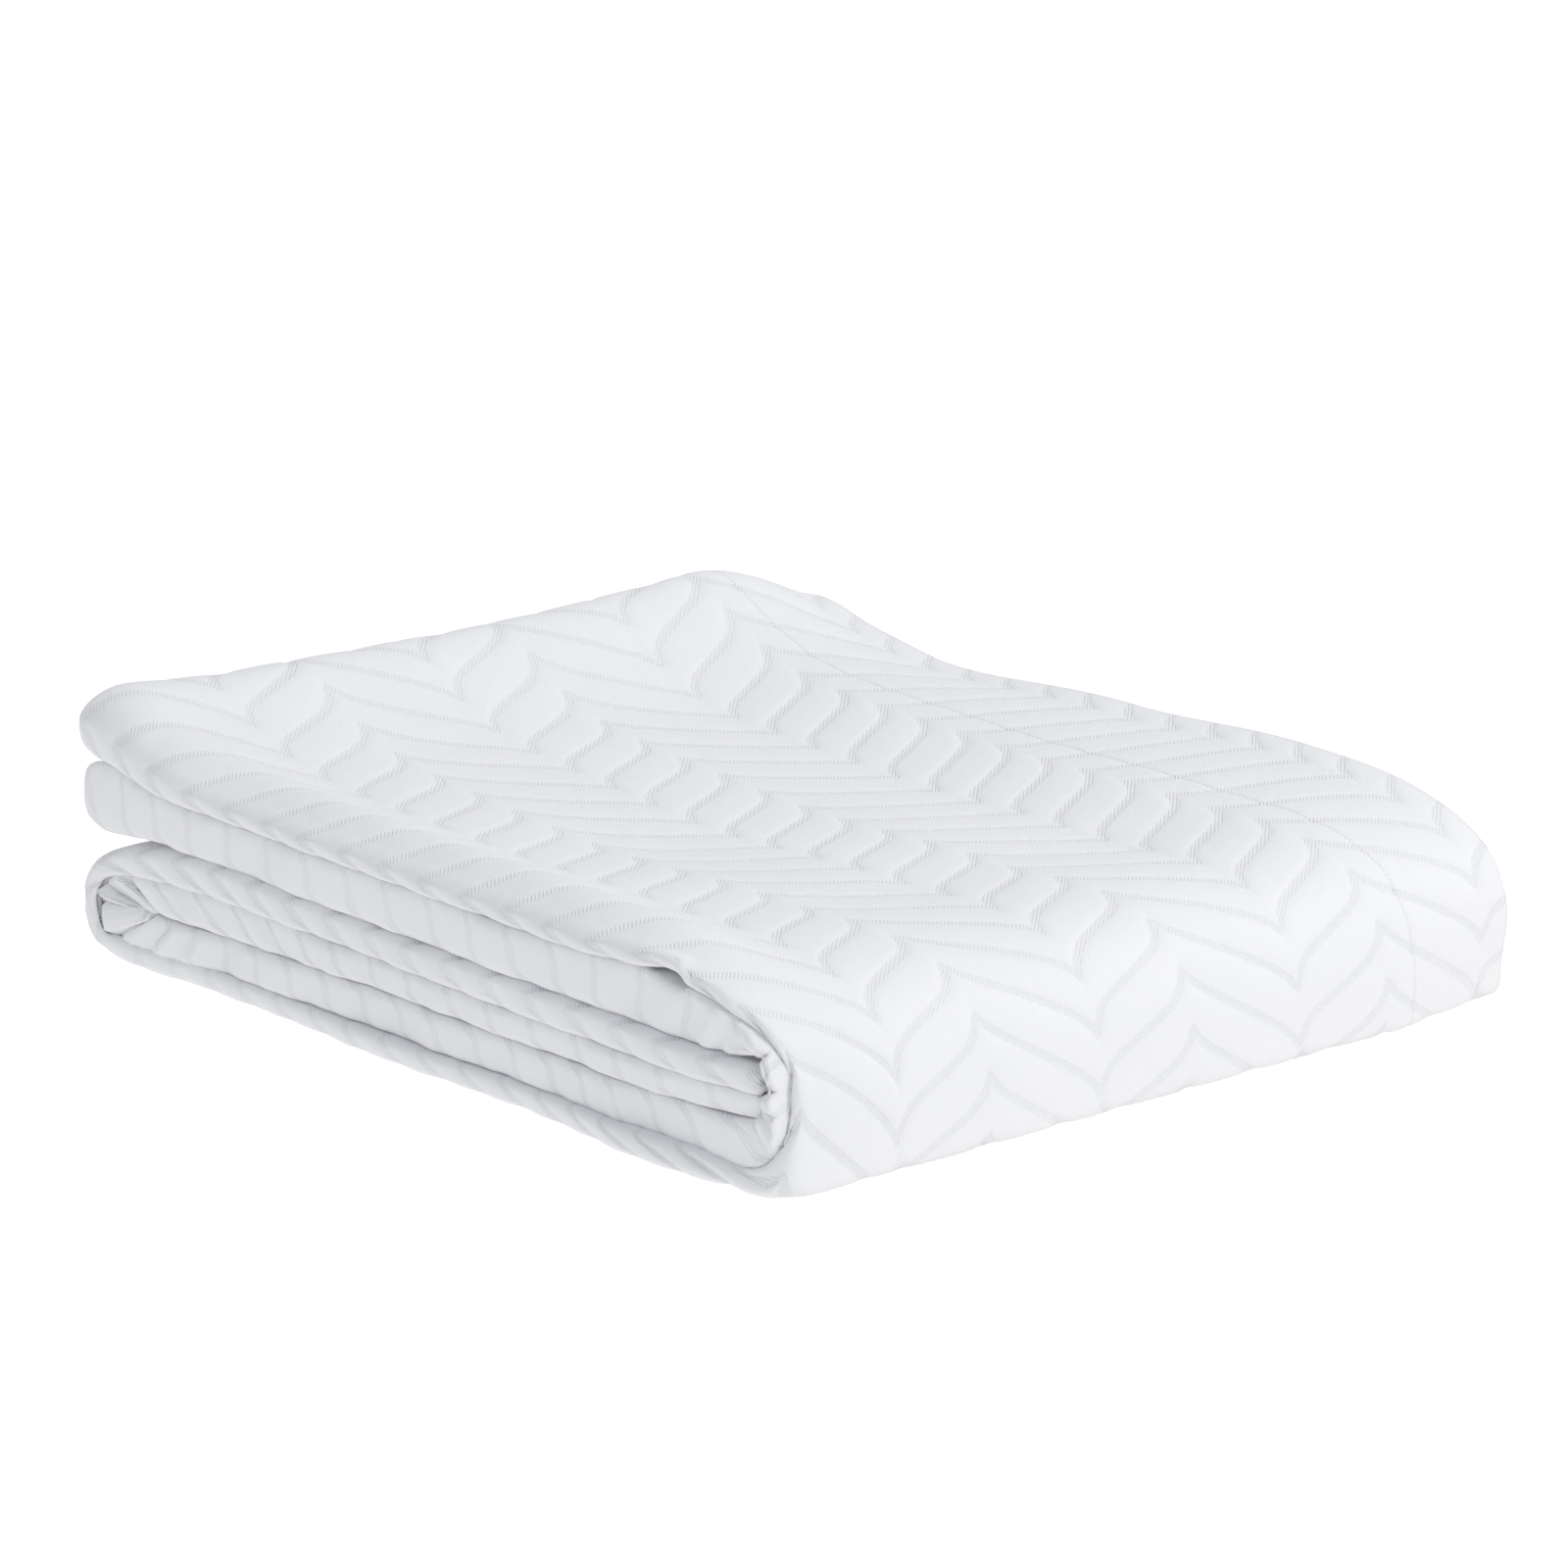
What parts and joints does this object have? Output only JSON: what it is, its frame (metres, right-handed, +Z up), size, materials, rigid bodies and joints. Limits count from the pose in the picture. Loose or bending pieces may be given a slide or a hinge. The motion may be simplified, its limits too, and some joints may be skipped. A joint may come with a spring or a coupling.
{
  "type": "folded quilted coverlet",
  "caption": "Quilted bed coverlet with leafy chevron channels and a wide hem, folded into a low rectangular bundle that lies flat.",
  "frame": {"origin": "middle of the folded bundle's bounding box, on the surface it lies on", "axes": "+X towards the end that the upper third wraps over, +Y towards the hem edges at the back, +Z up"},
  "size_m": [0.6258, 0.5624, 0.1562],
  "materials": {
    "coverlet": "soft matte woven cotton, white, with raised quilting"
  },
  "bodies": {
    "root": {"coverlet": "coverlet"}
  },
  "joints": []
}
